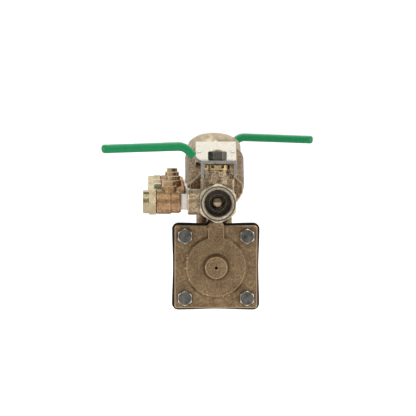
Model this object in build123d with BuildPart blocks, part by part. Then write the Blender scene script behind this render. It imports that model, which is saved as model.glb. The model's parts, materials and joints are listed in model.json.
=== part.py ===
from build123d import *

import os
from math import atan2, cos, degrees, radians, sin, sqrt

# Reduced-pressure backflow preventer, 3/4 inch, for irrigation pipework. Millimetres.
# Frame: +Y is the flow direction, +Z is up, and the origin is the centre of the inlet
# port's face. Seen from the inlet, +X is to the right.

# ---------------------------------------------------------------- driving dimensions
overall_length = 305.0      # inlet face to outlet face, 12 in
valve_length = 54.0         # inlet face to main body
socket_depth = 13.5         # how far each ball valve screws into the main body
port_radius = 12.6          # 3/4 in NPT at mid engagement
port_depth = 13.4
waterway_radius = 7.5
hex_across_flats = 33.0
barrel_radius = 17.4        # main run of the body
passage_radius = 10.5

stem_at = 27.0              # ball centre, from the port face
ball_radius = 12.2
valve_wall_radius = 17.4
packing_boss_radius = 11.15
packing_boss_top = 29.5
gland_top = 34.7
handle_seat = 36.0          # underside of the handle plate
handle_thickness = 2.5
handle_nut_height = 8.2
handle_nut_flats = 15.1
stem_radius = 4.75
stem_top = 48.4
handle_tip = 107.0          # stem centre to the end of the grip

tower_lean = 54.0           # check axis above the flow direction, degrees
tower_radius = 27.5
tower_length = 28.0         # check chamber centre to the rim of the tower
tower_bore_radius = 20.0
cover_radius = 24.8
cover_height = 13.0
check_travel = 8.0
first_check_centre = (0, 84.0, 14.5)
second_check_centre = (0, 167.0, 12.0)

relief_z = -63.5            # axis of the relief valve
relief_cover_half = 39.0
relief_flange_face = 70.0   # where the diaphragm lies on the body
relief_flange_depth = 10.0
relief_cover_depth = 8.0
diaphragm_depth = 2.5
diaphragm_side = 82.5
relief_bolt_spacing = 58.5
relief_bolt_radius = 3.95
relief_travel = 6.0
drain_at = 105.0            # centre of the drain, along the flow
drain_radius = 12.0
drain_end = -98.0
drain_depth = 15.0          # mouth to the shoulder above it
drain_throat_radius = 10.5
tongue_half_width = 8.4     # covers the sensing passage
tongue_round_z = -28.0
sensing_z = -24.0

cock_length = 41.3          # boss face to the tip of a test cock
cock_seat = 17.0            # boss face to the test cock's own stem
cock_port_radius = 6.2      # 1/4 in NPT
cock_port_depth = 11.0
cock_shank_radius = 6.6
cock_stem_radius = 5.5
cock_stem_top = 18.5
cock_boss_radius = 12.0
cock_drilling = 2.6         # radius of the drilling from boss to waterway
first_cock_boss_x = -27.5   # boss face on the inlet valve
body_cock_boss_x = -22.7    # boss faces on the main body
body_cock_z = 3.0

fit = 0.05                  # radial clearance where one piece screws into another

body_start = valve_length
body_end = overall_length - valve_length


# ---------------------------------------------------------------- shared helpers
def rod(plane, start, end, radius, mode=Mode.ADD):
    """A cylinder along the plane's normal, between two distances from the plane."""
    with BuildSketch(plane.offset(start)) as section:
        Circle(radius)
    extrude(section.sketch, amount=end - start, mode=mode)


def prism(plane, start, end, section, mode=Mode.ADD):
    """A sketch drawn on XY, set on the plane and extruded between two distances."""
    placed = plane.offset(start) * section
    extrude(placed, amount=end - start, mode=mode)


def turned(plane, outline, mode=Mode.ADD):
    """Revolve an outline of (along, radius) points about the plane's x axis."""
    with BuildSketch(plane) as section:
        with BuildLine():
            Polyline(*outline, close=True)
        make_face()
    revolve(section.sketch, axis=Axis(plane.origin, plane.x_dir), mode=mode)


def hexagon(across_flats, rotation=0):
    """A hexagon; with no rotation its points lie left and right."""
    with BuildSketch() as shape:
        RegularPolygon(across_flats / 2, 6, major_radius=False, rotation=rotation)
    return shape.sketch


def rectangle(low, high, corner=0.0):
    """A rectangle from its low corner to its high corner, with rounded corners."""
    with BuildSketch() as shape:
        with Locations(((low[0] + high[0]) / 2, (low[1] + high[1]) / 2)):
            if corner:
                RectangleRounded(high[0] - low[0], high[1] - low[1], corner)
            else:
                Rectangle(high[0] - low[0], high[1] - low[1])
    return shape.sketch


def coil(plane, start, end, mean_radius, wire_radius, turns):
    """A round wire wound about the plane's normal between two distances."""
    height = end - start - 2 * wire_radius
    foot = plane.offset(start + wire_radius)
    with BuildLine() as path:
        Helix(height / turns, height, mean_radius, center=foot.origin, direction=foot.z_dir)
    with BuildSketch(Plane(path.line @ 0, z_dir=path.line % 0)) as wire:
        Circle(wire_radius)
    sweep(wire.sketch, path=path.line, is_frenet=True)


def seat_ring(plane, ball_centre, ball, inner, outer, depth):
    """A ring standing on the plane's origin, hollowed to fit a ball further along x."""
    reach = sqrt(ball**2 - inner**2)
    lip = sqrt(ball**2 - (ball_centre - depth)**2)
    start = degrees(atan2(lip, depth - ball_centre))
    finish = degrees(atan2(inner, -reach))
    with BuildSketch(plane) as section:
        with BuildLine():
            Polyline((ball_centre - reach, inner), (0, inner), (0, outer), (depth, outer),
                     (depth, lip))
            CenterArc((ball_centre, 0), ball, start, finish - start)
        make_face()
    revolve(section.sketch, axis=Axis(plane.origin, plane.x_dir))


def save(piece, name):
    """Label a finished piece and write it as one STEP file."""
    piece.part.label = name
    export_step(piece.part, f"parts/{name}.step")


os.makedirs("parts", exist_ok=True)

# ---------------------------------------------------------------- frames
inlet = Plane((0, 0, 0), x_dir=(1, 0, 0), z_dir=(0, 0, 1))
outlet = Plane((0, overall_length, 0), x_dir=(-1, 0, 0), z_dir=(0, 0, 1))
valves = {"inlet": inlet, "outlet": outlet}


def along_flow(frame):
    """Plane for turned outlines about a valve's port axis."""
    return Plane(frame.origin, x_dir=frame.y_dir, z_dir=frame.x_dir)


def across_flow(frame):
    """Plane of a valve's port face, its normal pointing into the valve."""
    return Plane(frame.origin, x_dir=-frame.x_dir, z_dir=frame.y_dir)


def level(frame):
    """Horizontal plane through a valve's ball centre."""
    return Plane(frame.from_local_coords((0, stem_at, 0)), x_dir=frame.x_dir, z_dir=frame.z_dir)


def about_stem(frame):
    """Plane for turned outlines about a valve's stem, heights first."""
    centre = frame.from_local_coords((0, stem_at, 0))
    return Plane(centre, x_dir=frame.z_dir, z_dir=frame.y_dir)


def lengthways(frame):
    """Upright plane through a valve's stem, across the flow, for the handle's side view."""
    centre = frame.from_local_coords((0, stem_at, 0))
    return Plane(centre, x_dir=frame.x_dir, z_dir=-frame.y_dir)


# ---------------------------------------------------------------- ball valves
hex_end = 12.0
rim_radius = 15.9
corner_radius = 17.9        # the hexagon's corners are turned down to this
cap_thread_radius = 15.0
cap_end = 18.0
seat_pocket_radius = 12.8
seat_floor = 15.0           # bottom of the seat pocket, from the port face
cavity_radius = 13.2
spigot_radius = 13.2
rear_hex_start = valve_length - 11.0
far_seat_floor = 2 * stem_at - seat_floor
stem_flange_radius = 6.5
packing_radius = 7.45
packing_floor = 20.5
gland_thread_bottom = 26.9
gland_radius = 11.7
stop_lug_at = (3.1, stem_at - 13.0, 25.8)
stop_lug_radius = 2.6
stop_lug_length = 6.0
rib_top = 21.0
rear_shell_radius = 15.8
stem_foot = 13.4            # top of the tang, under the stem's flange
flange_top = 15.9
stem_flat = 3.6             # stem centre to the flats for the handle
ball_slot_floor = 9.5


def make_valve_end_cap(frame):
    """The hexagonal port piece that closes a ball valve."""
    with BuildPart() as cap:
        prism(across_flow(frame), 0, hex_end, hexagon(hex_across_flats, 90))
        chamfered = [(0, 0), (0, rim_radius), (0.9, rim_radius + 0.5), (2.4, corner_radius),
                     (hex_end - 1.0, corner_radius), (hex_end, corner_radius - 0.8), (hex_end, 0)]
        turned(along_flow(frame), chamfered, Mode.INTERSECT)
        rod(across_flow(frame), hex_end, cap_end, cap_thread_radius)
        bore = [(0, 0), (0, 14.3), (1.7, port_radius), (port_depth, port_radius),
                (port_depth, waterway_radius), (seat_floor, waterway_radius),
                (seat_floor, seat_pocket_radius + fit), (cap_end, seat_pocket_radius + fit),
                (cap_end, 0)]
        turned(along_flow(frame), bore, Mode.SUBTRACT)
    return cap


def make_valve_body(frame, with_test_boss):
    """The cast body that holds the ball, with a threaded spigot on its inner end."""
    flow = across_flow(frame)
    up = level(frame)
    with BuildPart() as body:
        # wrench hexagon against the main body, its corners turned off
        prism(flow, rear_hex_start, valve_length, hexagon(hex_across_flats, 90))
        edge, corner = corner_radius - 0.1, corner_radius + 1.2
        corners = [(rear_hex_start, 0), (rear_hex_start, edge), (rear_hex_start + 1.5, corner),
                   (valve_length - 1.5, corner), (valve_length, edge), (valve_length, 0)]
        turned(along_flow(frame), corners, Mode.INTERSECT)
        shell = [(hex_end, 0), (hex_end, 16.4), (16.0, valve_wall_radius),
                 (38.0, valve_wall_radius), (rear_hex_start, rear_shell_radius),
                 (valve_length, rear_shell_radius), (valve_length, 0)]
        turned(along_flow(frame), shell)
        rod(flow, valve_length, valve_length + socket_depth - 0.5, spigot_radius)
        rod(up, 0, packing_boss_top, packing_boss_radius)
        if with_test_boss:
            side = Plane(up.origin, x_dir=(0, 0, 1), z_dir=(-1, 0, 0))
            rod(side, 0, -first_cock_boss_x, cock_boss_radius)
        # cast stop lug in front of the packing boss
        lug = Plane(frame.from_local_coords(stop_lug_at), x_dir=-frame.x_dir, z_dir=frame.y_dir)
        rod(lug, 0, stop_lug_length, stop_lug_radius)
        # flowing cast ribs from the packing boss down to the shell
        prism(up, 0, rib_top, rectangle((-15.5, -5.0), (15.5, 5.0), 2.0))
        chamber = [(hex_end, 0), (hex_end, cap_thread_radius + fit),
                   (cap_end + fit, cap_thread_radius + fit), (cap_end + fit, cavity_radius),
                   (far_seat_floor - 3.6, cavity_radius),
                   (far_seat_floor - 3.6, seat_pocket_radius + fit),
                   (far_seat_floor, seat_pocket_radius + fit),
                   (far_seat_floor, waterway_radius),
                   (valve_length + socket_depth, waterway_radius),
                   (valve_length + socket_depth, 0)]
        turned(along_flow(frame), chamber, Mode.SUBTRACT)
        rod(up, 0, flange_top + 0.1, stem_flange_radius + 0.1, Mode.SUBTRACT)
        rod(up, 0, packing_boss_top, stem_radius + 0.1, Mode.SUBTRACT)
        rod(up, packing_floor, packing_boss_top, packing_radius + fit, Mode.SUBTRACT)
        if with_test_boss:
            rod(side, -first_cock_boss_x - 9.0, -first_cock_boss_x, cock_shank_radius + fit,
                Mode.SUBTRACT)
            rod(side, 10.0, -first_cock_boss_x, cock_drilling, Mode.SUBTRACT)
    return body


def make_ball(frame):
    """The bored ball, turned to close the valve: its bore lies across the flow."""
    centre = frame.from_local_coords((0, stem_at, 0))
    across = Plane(centre, x_dir=frame.y_dir, z_dir=frame.x_dir)
    with BuildPart() as ball:
        with Locations(centre):
            Sphere(ball_radius)
        rod(across, -ball_radius, ball_radius, waterway_radius, Mode.SUBTRACT)
        slot = rectangle((-13, -2.6), (13, 2.6))
        prism(level(frame), ball_slot_floor, ball_radius, slot, Mode.SUBTRACT)
    return ball


def make_seat(frame, floor, facing):
    """A PTFE seat ring between a pocket floor and the ball."""
    start = Plane(frame.from_local_coords((0, floor, 0)), x_dir=facing * frame.y_dir,
                  z_dir=facing * frame.x_dir)
    with BuildPart() as seat:
        seat_ring(start, abs(stem_at - floor), ball_radius + 0.03, 7.7, seat_pocket_radius, 3.5)
    return seat


def make_stem(frame):
    """The blow-out-proof stem, with a tang below and flats for the handle above."""
    with BuildPart() as stem:
        outline = [(stem_foot, 0), (stem_foot, stem_flange_radius),
                   (flange_top, stem_flange_radius), (flange_top, stem_radius),
                   (stem_top - 1.2, stem_radius), (stem_top, 3.9), (stem_top, 0)]
        turned(about_stem(frame), outline)
        tang = rectangle((-5.5, -2.5), (5.5, 2.5))
        prism(level(frame), ball_slot_floor + 0.2, stem_foot, tang)
        for low, high in ((stem_flat, 6), (-6, -stem_flat)):
            flat = rectangle((-6, low), (6, high))
            prism(level(frame), handle_seat, stem_top, flat, Mode.SUBTRACT)
    return stem


def make_packing(frame):
    """The stem packing ring under the gland nut."""
    with BuildPart() as packing:
        turned(about_stem(frame), [(packing_floor, stem_radius + fit),
                                   (packing_floor, packing_radius),
                                   (gland_thread_bottom, packing_radius),
                                   (gland_thread_bottom, stem_radius + fit)])
    return packing


def make_gland_nut(frame):
    """The notched brass nut that squeezes the packing."""
    notch_count = 8
    notch_depth = 3.4
    with BuildPart() as gland:
        outline = [(gland_thread_bottom, 4.95), (gland_thread_bottom, 7.4),
                   (packing_boss_top, 7.4), (packing_boss_top, gland_radius - 0.4),
                   (packing_boss_top + 0.5, gland_radius), (gland_top - 0.5, gland_radius),
                   (gland_top, gland_radius - 0.5), (gland_top, 4.95)]
        turned(about_stem(frame), outline)
        for index in range(notch_count):
            spoke = Rot(0, 0, (index + 0.5) * 360 / notch_count)
            cut = spoke * rectangle((gland_radius - notch_depth, -1.7), (gland_radius + 1, 1.7))
            prism(level(frame), packing_boss_top + 1.9, gland_top, cut, Mode.SUBTRACT)
    return gland


# The lever, seen from the side: its middle line in (across, height) from the stem's foot.
arm_half = handle_thickness / 2
arm_line = [(-11.0, handle_seat + arm_half), (-17.0, handle_seat + arm_half),
            (-31.0, 51.3), (-handle_tip + 2.5, 48.7)]
arm_bends = [7.0, 12.0]
grip_height = 7.7
grip_width = 23.0
grip_start = 0.36           # fraction of the sloping run left bare
grip_corner = 3.6
hub_half = 12.0             # half of the hub plate's length along the flow
leg_width = 4.4
leg_foot = 22.0
bend_radius = 2.8           # outside of the folded tail
tail_foot = 24.0


def arm_path(frame, points, bends):
    """The middle line of the lever as a smooth wire."""
    with BuildLine(lengthways(frame)) as path:
        FilletPolyline(*points, radius=bends)
    return path.line


def strip(path, section):
    """Sweep a section along a line, starting square to it."""
    with BuildSketch(Plane(path @ 0, x_dir=(0, 1, 0), z_dir=path % 0)) as profile:
        add(section)
    sweep(profile.sketch, path=path)


def lever_plan():
    """Outline of the lever from above: narrow at the hub, full width under the grip."""
    with BuildSketch() as plan:
        with BuildLine():
            Polyline((-8, -7.2), (-17, -7.2), (-27, -9.4), (-handle_tip, -9.4),
                     (-handle_tip, 9.4), (-27, 9.4), (-17, 7.2), (-8, 7.2), close=True)
        make_face()
    return plan.sketch


def make_handle(frame):
    """The stamped steel lever with its down-turned stop legs."""
    up = level(frame)
    with BuildPart() as handle:
        strip(arm_path(frame, arm_line, arm_bends), rectangle((-9.5, -arm_half), (9.5, arm_half)))
        prism(up, 30.0, 60.0, lever_plan(), Mode.INTERSECT)
        plate_top = handle_seat + handle_thickness
        prism(up, handle_seat, plate_top, rectangle((-15.0, -hub_half), (17.7, hub_half), 1.2))
        for low in (-hub_half, hub_half - leg_width):
            leg = rectangle((-15.0, low), (-12.5, low + leg_width))
            prism(up, leg_foot, plate_top, leg)
        prism(up, tail_foot, plate_top, rectangle((15.2, -7.0), (17.7, 7.0)))
        # the tail is folded down over a rounded bend
        folded = rectangle((-120.0, 0.0), (17.7, plate_top), bend_radius)
        inner = rectangle((-120.0, 0.0), (0.0, 70.0))
        prism(lengthways(frame), -20.0, 20.0, folded + inner, Mode.INTERSECT)
        with BuildSketch() as hole:
            Circle(stem_radius + fit)
            Rectangle(12, 7.3, mode=Mode.INTERSECT)
        prism(up, handle_seat - 1, handle_seat + 4, hole.sketch, Mode.SUBTRACT)
    return handle


def make_grip(frame, handle):
    """The dipped vinyl sleeve on the lever."""
    run_start, run_end = arm_line[1], arm_line[2]
    bare = tuple(a + grip_start * (b - a) for a, b in zip(run_start, run_end))
    points = [bare, run_end, (-handle_tip, arm_line[3][1] - 0.1)]
    with BuildPart() as grip:
        strip(arm_path(frame, points, arm_bends[1:]),
              rectangle((-grip_width / 2, -grip_height / 2), (grip_width / 2, grip_height / 2),
                        grip_corner))
        ends = rectangle((-handle_tip, -grip_width / 2), (-handle_tip + 120, grip_width / 2), 8.0)
        prism(level(frame), 20.0, 70.0, ends, Mode.INTERSECT)
        # the tip is rounded in side view too
        tip_low = arm_line[3][1] - grip_height / 2
        nose = rectangle((-handle_tip, tip_low), (20.0, tip_low + grip_height + 0.8), grip_corner)
        sides = rectangle((-handle_tip + 30.0, 20.0), (20.0, 70.0))
        prism(lengthways(frame), -grip_width, grip_width, nose + sides, Mode.INTERSECT)
        add(handle.part, mode=Mode.SUBTRACT)
    return grip


def make_handle_nut(frame):
    """The hexagon nut that holds the lever on the stem."""
    bottom = handle_seat + handle_thickness
    top = bottom + handle_nut_height
    face = handle_nut_flats / 2 + 0.3
    corner = face + 0.8
    with BuildPart() as nut:
        prism(level(frame), bottom, top, hexagon(handle_nut_flats))
        turned(about_stem(frame), [(bottom, 0), (bottom, face), (bottom + 0.8, corner),
                                   (top - 0.8, corner), (top, face), (top, 0)], Mode.INTERSECT)
        rod(level(frame), bottom, top, stem_radius + fit, Mode.SUBTRACT)
    return nut


for side, frame in valves.items():
    save(make_valve_end_cap(frame), f"{side}_valve_end_cap")
    save(make_valve_body(frame, with_test_boss=side == "inlet"), f"{side}_valve_body")
    save(make_ball(frame), f"{side}_valve_ball")
    save(make_stem(frame), f"{side}_valve_stem")
    save(make_gland_nut(frame), f"{side}_valve_gland_nut")
    lever = make_handle(frame)
    save(lever, f"{side}_valve_handle")
    save(make_grip(frame, lever), f"{side}_valve_grip")
    save(make_handle_nut(frame), f"{side}_valve_handle_nut")

near_seats = [make_seat(frame, seat_floor, 1).part for frame in valves.values()]
far_seats = [make_seat(frame, far_seat_floor, -1).part for frame in valves.values()]
with BuildPart() as valve_seats:
    add(near_seats + far_seats)
save(valve_seats, "valve_seats")

packings = [make_packing(frame).part for frame in valves.values()]
with BuildPart() as valve_packings:
    add(packings)
save(valve_packings, "valve_stem_packings")


# ---------------------------------------------------------------- main body casting
def tower(centre):
    """Plane square to a check's axis, its normal up and downstream."""
    lean = radians(tower_lean)
    return Plane(centre, x_dir=(1, 0, 0), z_dir=(0, cos(lean), sin(lean)))


def about_tower(centre):
    """Plane for turned outlines about a check's axis."""
    axis = tower(centre).z_dir
    return Plane(centre, x_dir=axis, z_dir=Vector(1, 0, 0))


def flow_plane(distance):
    """Upright plane across the flow; sketches on it read (-x, z)."""
    return Plane((0, distance, 0), x_dir=(-1, 0, 0), z_dir=(0, 1, 0))


def relief_plane(distance):
    """As flow_plane, but centred on the relief valve's axis."""
    return Plane((0, distance, relief_z), x_dir=(-1, 0, 0), z_dir=(0, 1, 0))


down = Plane((0, 0, 0), x_dir=(1, 0, 0), z_dir=(0, 0, -1))
about_relief = Plane((0, 0, relief_z), x_dir=(0, 1, 0), z_dir=(1, 0, 0))

check_centres = {"check_1": first_check_centre, "check_2": second_check_centre}
cock_bosses = {
    "test_cock_1": (first_cock_boss_x, stem_at, 0.0),
    "test_cock_2": (body_cock_boss_x, 68.5, body_cock_z),
    "test_cock_3": (body_cock_boss_x, 145.0, body_cock_z),
    "test_cock_4": (body_cock_boss_x, 223.0, body_cock_z),
}

seat_bottom = -8.0          # distances along a check's axis from its centre
seat_shoulder = -4.0
seat_lip = -2.5
cover_thread_radius = 21.4
cover_thread_bottom = 18.0
flange_back = relief_flange_face + relief_flange_depth
diaphragm_chamber_end = 88.0
guide_shoulder = 90.0
relief_seat_shoulder = 118.0
relief_seat_end = 124.0
relief_rear = 146.0
zone_passage_at = 131.0


def tongue(round_z, half_width, foot_z, grow=0.0):
    """The round-topped tab above the square of the relief valve, on a flow plane."""
    with BuildSketch() as shape:
        with Locations((0, round_z - relief_z)):
            Circle(half_width + grow)
        with Locations((0, (round_z + foot_z) / 2 - relief_z)):
            Rectangle(2 * (half_width + grow), round_z - foot_z)
    return shape.sketch


relief_square = rectangle((-relief_cover_half, -relief_cover_half),
                          (relief_cover_half, relief_cover_half), 2.5)

with BuildPart() as waterways:
    # run of the waterway, stepping up through each check seat
    first_y, second_y = first_check_centre[1], second_check_centre[1]
    rod(flow_plane(0), body_start + 5, first_y - 13.5, passage_radius)
    rod(flow_plane(0), first_y + 13, second_y - 13.5, passage_radius)
    rod(flow_plane(0), second_y + 13, body_end - 5, passage_radius)
    above = tower_length + 1
    for centre in check_centres.values():
        bore = [(-20.0, 0), (-20.0, 14.0), (seat_bottom, 14.0), (seat_bottom, 17.0),
                (seat_shoulder, 17.0), (seat_shoulder, tower_bore_radius),
                (cover_thread_bottom - 1.5, tower_bore_radius),
                (cover_thread_bottom - 1.5, cover_thread_radius + fit),
                (above, cover_thread_radius + fit), (above, 0)]
        turned(about_tower(centre), bore)
    # sockets for the two ball valves
    for mouth, depth in ((body_start, socket_depth), (body_end, -socket_depth)):
        socket = Plane((0, mouth, 0), x_dir=(1, 0, 0), z_dir=(0, depth, 0))
        rod(socket, -1, socket_depth, spigot_radius + fit)
    # test cock sockets and their drillings into the waterway
    for name, (x, y, z) in cock_bosses.items():
        if name != "test_cock_1":
            outwards = Plane((0, y, z), x_dir=(-1, 0, 0), z_dir=(0, 1, 0))
            turned(outwards, [(3.0, 0), (3.0, cock_drilling), (-x - 9.0, cock_drilling),
                              (-x - 9.0, cock_shank_radius + fit),
                              (1 - x, cock_shank_radius + fit), (1 - x, 0)])
    # relief valve: chambers, drain, zone passage and sensing passage
    chambers = [(relief_flange_face - 1, 0), (relief_flange_face - 1, 27.0),
                (diaphragm_chamber_end, 27.0), (diaphragm_chamber_end, 19.05),
                (guide_shoulder, 19.05), (guide_shoulder, 16.0), (relief_seat_shoulder, 16.0),
                (relief_seat_shoulder, 13.5), (relief_seat_end, 13.5), (relief_seat_end, 10.0),
                (139.0, 10.0), (139.0, 0)]
    turned(about_relief, chambers)
    drain = Plane((0, drain_at, 0), x_dir=(1, 0, 0), z_dir=(0, 0, -1))
    rod(drain, -relief_z, -drain_end, drain_throat_radius)
    rod(drain, -drain_end - drain_depth, 1 - drain_end, drain_radius)
    rod(Plane((0, zone_passage_at, 0), x_dir=(1, 0, 0), z_dir=(0, 0, -1)), 0, -relief_z, 7.5)
    rod(Plane((0, 0, sensing_z), x_dir=(-1, 0, 0), z_dir=(0, 1, 0)), relief_flange_face - 1,
        78.5, 2.0)
    rod(Plane((0, 76.0, sensing_z), x_dir=(1, 0, 0), z_dir=(0, 0, 1)), 0, 20.0, 1.8)
    with Locations(relief_plane(relief_flange_face)):
        with GridLocations(relief_bolt_spacing, relief_bolt_spacing, 2, 2):
            Cylinder(relief_bolt_radius + fit, 2 * relief_flange_depth + 4)

with BuildPart() as main_body:
    # run, check chambers and leaning towers
    rod(flow_plane(0), body_start, body_end, barrel_radius)
    for centre in check_centres.values():
        with BuildSketch(about_tower(centre)) as half_tower:
            with BuildLine():
                CenterArc((0, 0), tower_radius, 90, 90)
                Polyline((0, tower_radius), (tower_length, tower_radius), (tower_length, 0),
                         (-tower_radius, 0))
            make_face()
        revolve(half_tower.sketch, axis=Axis(centre, tower(centre).z_dir))
    # flat pad for the nameplate on the first tower
    pad = rectangle((-19.8, -27.6), (19.8, -12.0))
    prism(tower(first_check_centre), 5.5, tower_length - 0.2, pad)
    # faceted wrench shoulders above the inlet socket
    with BuildSketch() as shoulder:
        with BuildLine():
            Polyline((-17, -4), (-25, 6), (-25, 15), (-14.5, 25.5), (14.5, 25.5), (25, 15),
                     (25, 6), (17, -4), close=True)
        make_face()
    prism(flow_plane(0), body_start + 0.5, body_start + 20, shoulder.sketch)
    # heavy ring at the outlet socket
    rod(flow_plane(0), body_end - 18, body_end, barrel_radius + 2.0)
    # relief valve housing: flange, diaphragm chamber, seat barrel, neck and web
    prism(relief_plane(0), relief_flange_face, flange_back,
          relief_square)
    prism(relief_plane(0), relief_flange_face, flange_back,
          tongue(-20.0, tongue_half_width, relief_z))
    housing = [(flange_back - 1, 0), (flange_back - 1, 31), (91, 31), (99, 22),
               (relief_rear - 4, 22), (relief_rear, 18), (relief_rear, 0)]
    turned(about_relief, housing)
    prism(down, 5.0, -relief_z, rectangle((-17.2, -145), (17.2, -110), 6))
    prism(down, 5.0, -relief_z - 20, rectangle((-6, -115), (6, -79)))
    with Locations(Plane((0, drain_at, relief_z), z_dir=(0, 0, -1))):
        Cylinder(17.0, relief_z - drain_end, align=(Align.CENTER, Align.CENTER, Align.MIN))
    # test cock bosses
    for name, (x, y, z) in cock_bosses.items():
        if name != "test_cock_1":
            side = Plane((0, y, z), x_dir=(0, 0, 1), z_dir=(-1, 0, 0))
            rod(side, 0, -x, cock_boss_radius)
            rod(side, -x, 5 - x, cock_boss_radius, Mode.SUBTRACT)
    add(waterways.part, mode=Mode.SUBTRACT)
save(main_body, "main_body")


# ---------------------------------------------------------------- check valves
cover_top = tower_length + cover_height
cover_roof = 30.0
poppet_guide_radius = 4.0
poppet_top = 26.0
o_ring_radius = 0.9


def ring(plane, along, radius, tube):
    """An O-ring about the plane's x axis."""
    with BuildSketch(plane) as section:
        with Locations((along, radius)):
            Circle(tube)
    revolve(section.sketch, axis=Axis(plane.origin, plane.x_dir))


def make_check_cover(centre):
    """The machined screw cover, with a hexagon to turn it and a guide for the poppet."""
    axis = about_tower(centre)
    with BuildPart() as cover:
        shell = [(cover_thread_bottom, 17.0), (cover_thread_bottom, cover_thread_radius),
                 (tower_length, cover_thread_radius), (tower_length, cover_radius),
                 (cover_top - 1.0, cover_radius), (cover_top, cover_radius - 1.0),
                 (cover_top, 0), (cover_roof, 0), (cover_roof, 17.0)]
        turned(axis, shell)
        prism(tower(centre), cover_top - 1, cover_top + 6, hexagon(22.0))
        rod(tower(centre), 20.0, cover_roof + 1, 7.0)
        rod(tower(centre), 20.0, poppet_top + check_travel + 4.0, poppet_guide_radius + 0.1,
            Mode.SUBTRACT)
        groove = [(tower_length, 21.9), (tower_length, 23.9), (tower_length + 1.5, 23.9),
                  (tower_length + 1.5, 21.9)]
        turned(axis, groove, Mode.SUBTRACT)
    return cover


def make_check_seat(centre):
    """The seat ring pressed into the body, with an O-ring groove."""
    with BuildPart() as seat:
        outline = [(seat_bottom, 12.5), (seat_bottom, 16.95), (-7.0, 16.95), (-7.0, 15.1),
                   (-5.0, 15.1), (-5.0, 16.95), (seat_shoulder, 16.95), (seat_shoulder, 19.5),
                   (-3.0, 19.5), (-3.0, 14.8), (seat_lip, 14.0), (seat_lip, 12.9),
                   (-3.0, 12.5)]
        turned(about_tower(centre), outline)
    return seat


def make_poppet(centre):
    """The poppet that carries the rubber disc, with its guide stem."""
    with BuildPart() as poppet:
        outline = [(0.6, 0), (0.6, 15.7), (-1.0, 15.7), (-1.0, 17.4), (3.0, 17.4), (4.0, 16.4),
                   (4.0, 7.5), (6.5, 6.5), (6.5, poppet_guide_radius),
                   (poppet_top - 0.6, poppet_guide_radius), (poppet_top, 3.4), (poppet_top, 0)]
        turned(about_tower(centre), outline)
        rod(tower(centre), 0, 6.0, 3.0, Mode.SUBTRACT)
    return poppet


def make_check_disc(centre):
    """The rubber sealing disc."""
    with BuildPart() as disc:
        turned(about_tower(centre), [(seat_lip + fit, 3.05), (seat_lip + fit, 15.4),
                                     (0.6, 15.4), (0.6, 3.05)])
    return disc


def make_disc_screw(centre):
    """The washer-head screw that holds the disc on the poppet."""
    head_bottom = seat_lip + fit - 2.2
    with BuildPart() as screw:
        turned(about_tower(centre), [(head_bottom, 0), (head_bottom, 6.4),
                                     (head_bottom + 1.0, 7.6), (seat_lip + fit, 7.6),
                                     (seat_lip + fit, 2.95), (5.8, 2.95), (5.8, 0)])
        slot = rectangle((-9, -0.8), (9, 0.8))
        prism(tower(centre), head_bottom, head_bottom + 1.1, slot, Mode.SUBTRACT)
    return screw


for check, centre in check_centres.items():
    save(make_check_cover(centre), f"{check}_cover")
    save(make_check_seat(centre), f"{check}_seat")
    save(make_poppet(centre), f"{check}_poppet")
    save(make_check_disc(centre), f"{check}_disc")
    save(make_disc_screw(centre), f"{check}_disc_screw")
    with BuildPart() as spring:
        coil(tower(centre), 4.05, cover_roof - 0.05, 9.6, 0.8, 6)
    save(spring, f"{check}_spring")


# ---------------------------------------------------------------- relief valve
cover_back = relief_flange_face - diaphragm_depth
cover_front = cover_back - relief_cover_depth
disc_raise = 2.5
cover_cavity_floor = cover_back - 2.6
stem_recess_end = 54.5
boss_front = 49.5

with BuildPart() as relief_cover:
    prism(relief_plane(0), cover_front, cover_back, relief_square)
    prism(relief_plane(0), cover_front, cover_back,
          tongue(tongue_round_z, tongue_half_width, relief_z))
    fillet(relief_cover.edges().group_by(Axis.Y)[0], 0.8)
    turned(about_relief, [(cover_front + 0.5, 0), (cover_front + 0.5, 29.9),
                          (cover_front, 29.9), (cover_front - disc_raise, 27.6),
                          (cover_front - disc_raise, 0)])
    prism(relief_plane(0), cover_front - disc_raise, cover_front + 0.5,
          tongue(tongue_round_z - 0.5, tongue_half_width - 0.8, relief_z + 20))
    turned(about_relief, [(cover_front - 1, 0), (cover_front - 1, 12.9),
                          (cover_front - disc_raise, 12.4), (boss_front + 0.8, 10.6),
                          (boss_front, 9.9), (boss_front, 0)])
    rod(relief_plane(0), boss_front, boss_front + 3.0, 1.5, Mode.SUBTRACT)
    rod(relief_plane(0), stem_recess_end, cover_back, 8.0, Mode.SUBTRACT)
    rod(relief_plane(0), cover_cavity_floor, cover_back, 26.0, Mode.SUBTRACT)
    prism(relief_plane(0), cover_back - 4.5, cover_back,
          rectangle((-2.5, 18), (2.5, sensing_z - relief_z + 2.5)), Mode.SUBTRACT)
    with Locations(relief_plane(cover_back)):
        with GridLocations(relief_bolt_spacing, relief_bolt_spacing, 2, 2):
            Cylinder(relief_bolt_radius + 0.25, 40, mode=Mode.SUBTRACT)
save(relief_cover, "relief_cover")

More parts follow.
